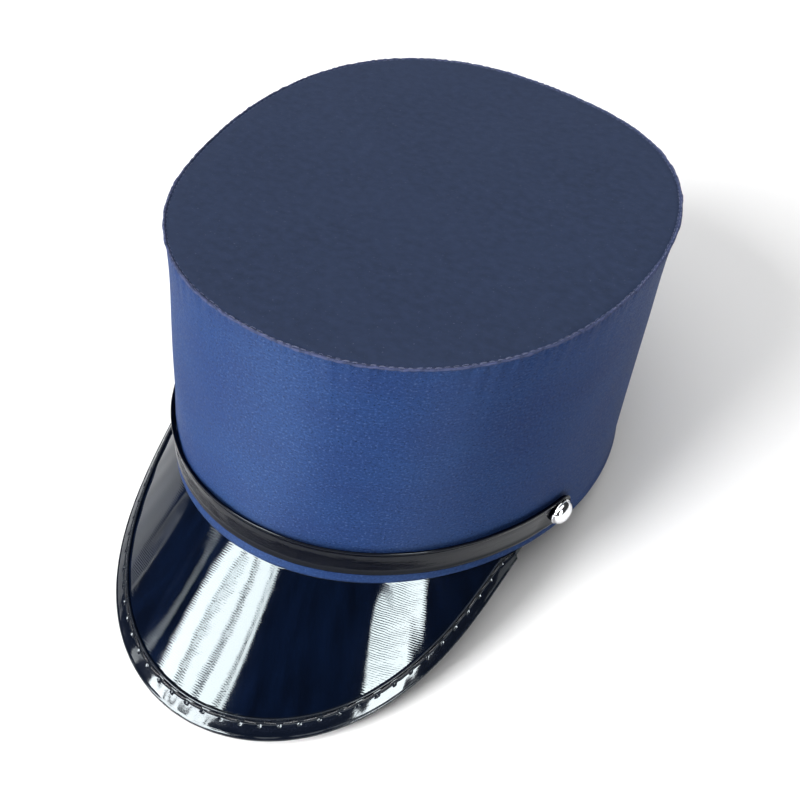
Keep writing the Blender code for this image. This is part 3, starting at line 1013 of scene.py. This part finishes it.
def strapSections(angles, widthShare):
    point, outward, up = wallFrame(angles, np.full(len(angles), strapMiddle()))
    gone = lengthsAlong(point)
    turned = np.abs(np.degrees(angles))
    near = np.clip(1.0 - np.abs(turned - strap["studAround"]) / strap["pressedReach"], 0.0, 1.0)
    pressed = near * near * (3.0 - 2.0 * near)
    sink = np.clip(turned - strap["dropFrom"], 0.0, None) / (strap["studAround"] - strap["dropFrom"])
    stray = pathNoise(gone, *strap["wanderWaves"]) * strap["wander"]
    pressedFrom, puffFrom = strap["face"]
    rows = []
    for upShare, outShare in smoothPath(strap["section"], strap["sectionColumns"]):
        sunk = strap["drop"] * sink * max(0.0, 1.0 - 2.0 * upShare)
        rise = (upShare - 0.5) * strap["width"] + stray - sunk
        onFace = min(1.0, upShare * 10.0) * min(1.0, max(0.0, 0.92 - upShare) * 12.0)
        share = outShare
        if outShare > pressedFrom:
            share = outShare + pressed * max(0.0, strap["pressedShare"] - outShare) * onFace
        stand = hat["gap"] + strap["thickness"] * share
        if outShare > puffFrom:
            stand = stand + pathNoise(gone + upShare * 0.006, *strap["puffWaves"]) * strap["puff"]
        heights = np.broadcast_to(stand, gone.shape)
        rows.append(point + up * (rise * widthShare)[:, None] + outward * heights[:, None])
    return np.stack(rows, axis=1), gone


def makeStrap(material):
    reach = math.radians(strap["studAround"] + strap["pastStud"])
    endRound = math.radians(strap["endRound"])
    ends = reach - endRound + endRound * np.sin(np.linspace(0.0, math.pi / 2.0, strap["endRows"])[1:])
    straight = np.linspace(endRound - reach, reach - endRound, strap["columns"])
    angles = np.concatenate([-ends[::-1], straight, ends])
    into = np.clip(np.abs(angles) - (reach - endRound), 0.0, endRound) / endRound
    widthShare = np.maximum(strap["endWidth"], np.sqrt(np.clip(1.0 - into * into, 0.0, 1.0)))
    sections, gone = strapSections(angles, widthShare)
    cloth = stripMap(gone, sections, strap["width"])
    mesh = gridMesh("strapPatent", standing(sections), cloth, capped=True)
    placePiece(mesh, material, "chin_strap")


# Studs: turned domes with a small collar, a post through the wall and a head inside

stud = {
    "radius": 0.0050,
    "height": 0.0037,
    "edge": 0.0007,
    "rounding": 0.00018,
    # how far in from the radius, height
    "collar": ((0.00054, 0.0), (0.00018, 0.0001), (0.0, 0.0003), (0.00005, 0.00055), (0.0002, 0.0007)),
    "domeRows": 18,
    "postRadius": 0.0012,
    "backRadius": 0.0028,
    "backThickness": 0.0008,
    "steps": 56,
    "mapRadius": 0.003,
    "sharpFrom": 50.0,
}


def studProfile():
    # radius and height from the head inside the wall to the dome's top, on the axis at both ends
    stack = 2.0 * hat["gap"] + strap["thickness"] + hat["wall"]
    back = -stack - hat["gap"]
    low = back - stud["backThickness"]
    small = stud["rounding"]
    profile = [
        (0.0, low),
        (stud["backRadius"] * 0.75, low),
        (stud["backRadius"] - small, low + small * 0.6),
        (stud["backRadius"], back - small),
        (stud["backRadius"] - small, back),
        (stud["postRadius"], back),
        (stud["postRadius"], 0.0),
    ]
    for inset, height in stud["collar"]:
        profile.append((stud["radius"] - inset, height))
    for swing in np.linspace(0.0, math.pi / 2.0, stud["domeRows"]):
        height = stud["edge"] + (stud["height"] - stud["edge"]) * math.sin(swing)
        profile.append(((stud["radius"] - 2.0 * small) * math.cos(swing), height))
    profile[-1] = (0.0, stud["height"])
    return np.array(profile)


def makeStud(name, around, material, node):
    profile = studProfile()
    swings = np.arange(stud["steps"] + 1) * (fullTurn / stud["steps"])
    onWall = wallFrame(np.radians([around]), np.array([strapMiddle()]))
    point, outward, up = (values[0] for values in onWall)
    base = point + outward * (2.0 * hat["gap"] + strap["thickness"])
    spokes = np.cos(swings[:-1, None]) * np.cross(up, outward) + np.sin(swings[:-1, None]) * up
    body = profile[1:-1]
    points = base + body[:, None, :1] * spokes + body[:, None, 1:] * outward
    tips = base + profile[[0, -1], 1:] * outward
    cloth = clothMap(swings * stud["mapRadius"], lengthsAlong(body)[:, None])
    mesh = gridMesh(name, standing(points), cloth, tips=standing(tips))
    mesh.set_sharp_from_angle(angle=math.radians(stud["sharpFrom"]))
    placePiece(mesh, material, node)


# Stitches: one tree lays a short arched thread on each even step of a path

stitchSockets = (
    ("Path", "Geometry"), ("Stitch count", "Int"), ("Stitch length", "Float"), ("Arch", "Float"),
    ("Thread radius", "Float"), ("Flatness", "Float"), ("Unevenness", "Float"), ("Seed", "Int"),
    ("Thread", "Material"),
)


def buildStitchTree():
    tree = bpy.data.node_groups.new("stitchRow", "GeometryNodeTree")
    for name, kind in stitchSockets:
        tree.interface.new_socket(name, in_out="INPUT", socket_type="NodeSocket" + kind)
    tree.interface.new_socket("Stitches", in_out="OUTPUT", socket_type="NodeSocketGeometry")
    given = tree.nodes.new("NodeGroupInput").outputs

    def result(kind, sockets=(), output=0, **settings):
        return addNode(tree, kind, sockets, **settings).outputs[output]

    def vector(x=0.0, y=0.0, z=0.0):
        return result("ShaderNodeCombineXYZ", (x, y, z))

    def randomBetween(least, most):
        return result("FunctionNodeRandomValue", {2: least, 3: most, "Seed": given["Seed"]}, 1,
                      data_type="FLOAT")

    path = result("GeometryNodeMeshToCurve", {"Mesh": given["Path"]})
    steps = result("GeometryNodeResampleCurve", {"Curve": path, "Count": given["Stitch count"]})
    outward = result("GeometryNodeInputNamedAttribute", {"Name": "outward"}, data_type="FLOAT_VECTOR")
    turn = result("FunctionNodeAxesToRotation",
                  {"Primary Axis": result("GeometryNodeInputTangent"), "Secondary Axis": outward},
                  primary_axis="X", secondary_axis="Z")
    half = mathOf(tree, "MULTIPLY", given["Stitch length"], 0.5)
    minusHalf = mathOf(tree, "MULTIPLY", half, -1.0)
    archTop = mathOf(tree, "MULTIPLY", given["Arch"], 2.0)
    arch = result("GeometryNodeCurveQuadraticBezier", {
        "Resolution": 5, "Start": vector(minusHalf), "Middle": vector(z=archTop), "End": vector(half)})
    ring = result("GeometryNodeCurvePrimitiveCircle", {"Resolution": 5, "Radius": given["Thread radius"]})
    oval = result("GeometryNodeTransform", {"Geometry": ring, "Scale": vector(1.0, given["Flatness"], 1.0)})
    thread = result("GeometryNodeCurveToMesh", {"Curve": arch, "Profile Curve": oval, "Fill Caps": True})
    rounded = result("GeometryNodeSetShadeSmooth", {"Geometry": thread})
    sizes = randomBetween(mathOf(tree, "SUBTRACT", 1.0, given["Unevenness"]),
                          mathOf(tree, "ADD", 1.0, given["Unevenness"]))
    tilt = result("FunctionNodeEulerToRotation", (vector(z=randomBetween(-0.10, 0.10)),))
    uneven = result("FunctionNodeRotateRotation", (turn, tilt), rotation_space="LOCAL")
    laid = result("GeometryNodeInstanceOnPoints", {
        "Points": steps, "Instance": rounded, "Rotation": uneven, "Scale": sizes})
    real = result("GeometryNodeRealizeInstances", (laid,))
    painted = result("GeometryNodeSetMaterial", {"Geometry": real, "Material": given["Thread"]})
    tree.links.new(painted, tree.nodes.new("NodeGroupOutput").inputs[0])
    return tree


stitchTree = buildStitchTree()


def layStitches(name, points, outward, closed, thread, sizes):
    # a path of points with the way out of the cloth on each, turned into a plain mesh of stitches
    count = len(points)
    edges = [(index, (index + 1) % count) for index in range(count if closed else count - 1)]
    pathMesh = bpy.data.meshes.new(name + "Path")
    pathMesh.from_pydata(points.tolist(), edges, [])
    layer = pathMesh.attributes.new("outward", "FLOAT_VECTOR", "POINT")
    layer.data.foreach_set("vector", np.asarray(outward, np.float32).ravel())
    path = addObject(name + "Path", pathMesh)
    maker = path.modifiers.new("stitches", "NODES")
    maker.node_group = stitchTree
    for item in stitchTree.interface.items_tree:
        if item.name in sizes:
            maker[item.identifier] = sizes[item.name]
        elif item.name == "Thread":
            maker[item.identifier] = thread
    ready = path.evaluated_get(bpy.context.evaluated_depsgraph_get())
    mesh = bpy.data.meshes.new_from_object(ready)
    mesh.name = name
    path.modifiers.remove(maker)
    bpy.data.objects.remove(path)
    bpy.data.meshes.remove(pathMesh)
    placePiece(mesh, thread)


seamStitches = {
    "pathPoints": 2400,
    "rows": ((0.00013, 0.5), (0.00009, 0.9)),  # thread radius, how deep the row lies in stitch dips
    "wander": 0.00012,
    "wanderWaves": (5, 40, 0.0),  # fewest and most waves round, waves in a metre up
    "seed": 60,
    "sizes": {"Stitch length": 0.0015, "Arch": 0.00014, "Flatness": 0.8, "Unevenness": 0.35},
}


def makeSeamStitches(thread):
    angles = ringAngles(seamStitches["pathPoints"])
    onTop = smoothPath(topCloth["section"], 400)[:240]  # the part that faces up
    aside = 0.04  # share of the seam's width, for the way out of the cloth

    def onSeam(widthShare):
        return seamPoint(angles, widthShare, np.interp(-widthShare, -onTop[:, 0], onTop[:, 1]))

    for row, widthShare in enumerate(topCloth["stitchRows"]):
        radius, buried = seamStitches["rows"][row]
        points = onSeam(widthShare)
        ahead = np.roll(points, -1, axis=0) - points
        outward = unit(np.cross(onSeam(widthShare - aside) - points, ahead))
        outward *= np.sign(outward[:, 2:])
        stray = ringNoise(angles, 0.0, seamStitches["seed"] + 2 + row, *seamStitches["wanderWaves"])
        lift = stray[:, None] * seamStitches["wander"] - topCloth["stitchDip"] * buried
        points = points + outward * lift
        sizes = {"Stitch count": hat["seamStitches"], "Thread radius": radius,
                 "Seed": seamStitches["seed"] + row, **seamStitches["sizes"]}
        layStitches(f"seamStitches{row + 1}", standing(points), standingDirection(outward), True,
                    thread, sizes)


bindingStitches = {
    "pathPoints": 900,
    "height": 0.00038,
    "insetShare": 0.790,
    "sizes": {"Stitch length": 0.0044, "Arch": 0.00014, "Thread radius": 0.00022, "Flatness": 0.8,
              "Unevenness": 0.08, "Seed": 70},
}


def makeBindingStitches(thread):
    turns, wanted, stitches = bindingTurns()
    halfPitch = wanted[-1] / stitches / 2.0
    fine = np.linspace(halfPitch, wanted[-1] - halfPitch, bindingStitches["pathPoints"])
    where = np.interp(fine, wanted, turns)
    start, out, up = peakFrame(where)[:3]
    edge = peakExtent(where)
    reach = np.minimum(binding["width"], edge - hat["gap"])
    away = edge - reach * bindingStitches["insetShare"]
    points = start + out * away[:, None] + up * bindingStitches["height"]
    sizes = {"Stitch count": stitches, **bindingStitches["sizes"]}
    layStitches("bindingStitches", standing(points), standingDirection(up), False,
                thread, sizes)


# Make the hat

chromeMaterial = makeChrome()
makeCrownCloth(makeSatin())
makeTopCloth(makeTopFelt())
makePeak(makePeakGloss())
makeBinding(makeStripPatent("bindingPatent", bindingPatent))
makeStrap(makeStripPatent("strapPatent", strapPatent))
makeStud("studLeft", strap["studAround"], chromeMaterial, "stud_left")
makeStud("studRight", -strap["studAround"], chromeMaterial, "stud_right")
makeSeamStitches(makeThread("seamThread", seamThread))
makeBindingStitches(makeThread("bindingThread", bindingThread))


# Floor, light and camera

studio = {
    "floorColour": (0.88, 0.88, 0.88),
    "floorDarker": (0.8712, 0.8712, 0.8712),
    "floorHalf": 4.0,
    "lampDistance": 20.0,
    "lampCentre": (0.01, -0.01, 0.05),
    # name, azimuth, elevation, degrees wide, degrees high, roll, radiance, what it's for
    "lamps": (
        ("leftBoxA", -38.6, 31.0, 8.9, 42.0, 0.0, 30.0, "gloss"),
        ("leftBoxB", -30.1, 31.0, 5.8, 42.0, 0.0, 30.0, "gloss"),
        ("leftBoxC", -21.4, 31.0, 8.0, 42.0, 0.0, 30.0, "gloss"),
        ("leftBoxD", -14.8, 31.0, 2.6, 42.0, 0.0, 26.0, "gloss"),
        ("leftEdge", -53.7, 19.0, 2.6, 20.0, 0.0, 5.5, "gloss"),
        ("farEdge", -73.4, 3.0, 1.6, 5.0, 0.0, 2.5, "gloss"),
        ("rightBox", 54.5, 19.0, 17.0, 22.0, -20.0, 32.0, "gloss"),
        ("key", -30.0, 31.0, 30.0, 36.0, 0.0, 12.8, "cloth"),
        ("overhead", 0.0, 86.0, 60.0, 60.0, 0.0, 1.9, "both"),
    ),
    "skyFrom": -0.2,  # sine of the lowest elevation in the stops
    "skyStops": ((0.0, 0.35), (0.165, 0.22), (0.20, 0.05), (0.80, 0.045), (1.0, 0.20)),
    "skyBlue": 1.03,
    "backdrop": (0.93, 0.93, 0.94),
}


def directionOf(azimuth, elevation):
    a = math.radians(azimuth)
    e = math.radians(elevation)
    return Vector((math.sin(a) * math.cos(e), -math.cos(a) * math.cos(e), math.sin(e)))


def facing(away, roll):
    # the turn of a lamp or camera that stands this way from what it looks at
    turn = away.to_track_quat("Z", "Y").to_matrix() @ Matrix.Rotation(math.radians(roll), 3, "Z")
    return turn.to_euler()


def makeFloor():
    half = studio["floorHalf"]
    corners = [(half * x, half * y, 0.0) for x, y in ((-1, -1), (1, -1), (1, 1), (-1, 1))]
    mesh = bpy.data.meshes.new("floor")
    mesh.from_pydata(corners, [], [(0, 1, 2, 3)])
    material, tree, shader = newMaterial("floorPaper")
    tone = noiseOf(tree, objectPlace(tree), 6.0)
    feed(tree, shader, {
        "Base Color": blendOf(tree, tone, studio["floorDarker"], studio["floorColour"]),
        "Roughness": 0.9,
    })
    mesh.materials.append(material)
    addObject("floor", mesh)


def makeLamps():
    centre = Vector(studio["lampCentre"])
    far = studio["lampDistance"]
    for name, azimuth, elevation, wide, high, roll, radiance, use in studio["lamps"]:
        light = bpy.data.lights.new(name, "AREA")
        light.shape = "RECTANGLE"
        narrowing = math.cos(math.radians(elevation)) if elevation < 60.0 else 1.0
        light.size = 2.0 * far * math.tan(math.radians(wide) / 2.0) * narrowing
        light.size_y = 2.0 * far * math.tan(math.radians(high) / 2.0)
        light.energy = radiance * 4.0 * light.size * light.size_y
        lamp = addObject(name, light)
        away = directionOf(azimuth, elevation)
        lamp.location = centre + away * far
        lamp.rotation_euler = facing(away, roll)
        lamp.visible_diffuse = use != "gloss"
        lamp.visible_glossy = use != "cloth"
        lamp.visible_camera = False


def makeSky():
    # a dim room, so the patent has something dark to mirror, behind a pale backdrop
    world = bpy.data.worlds.new("studioSky")
    world.use_nodes = True
    tree = world.node_tree
    place = addNode(tree, "ShaderNodeTexCoord").outputs["Generated"]
    upwards = addNode(tree, "ShaderNodeSeparateXYZ", (place,)).outputs[2]
    ramp = addNode(tree, "ShaderNodeValToRGB", (rangeOf(tree, upwards, studio["skyFrom"], 1.0),))
    band = ramp.color_ramp
    while len(band.elements) < len(studio["skyStops"]):
        band.elements.new(0.5)
    for element, (position, value) in zip(band.elements, studio["skyStops"]):
        element.position = position
        element.color = (value, value, value * studio["skyBlue"], 1.0)
    seen = addNode(tree, "ShaderNodeLightPath").outputs["Is Camera Ray"]
    sky = blendOf(tree, seen, ramp.outputs[0], studio["backdrop"])
    feed(tree, tree.nodes["Background"], {"Color": sky})
    bpy.context.scene.world = world


photoCamera = {
    "place": (0.14754, -0.20849, 0.32743),
    "target": (0.009242, -0.001309, 0.043755),
    "roll": -2.739,
    "lens": 45.0,
    "sensor": 36.0,
    "nearest": 0.02,
    "farthest": 50.0,
}


def makeCamera():
    lens = bpy.data.cameras.new("photoCamera")
    lens.lens = photoCamera["lens"]
    lens.sensor_width = photoCamera["sensor"]
    lens.clip_start = photoCamera["nearest"]
    lens.clip_end = photoCamera["farthest"]
    camera = addObject("photoCamera", lens)
    camera.location = photoCamera["place"]
    away = Vector(photoCamera["place"]) - Vector(photoCamera["target"])
    camera.rotation_euler = facing(away, photoCamera["roll"])
    bpy.context.scene.camera = camera


makeFloor()
makeLamps()
makeSky()
makeCamera()
bpy.context.scene.view_settings.view_transform = "Standard"
print("studio ready")
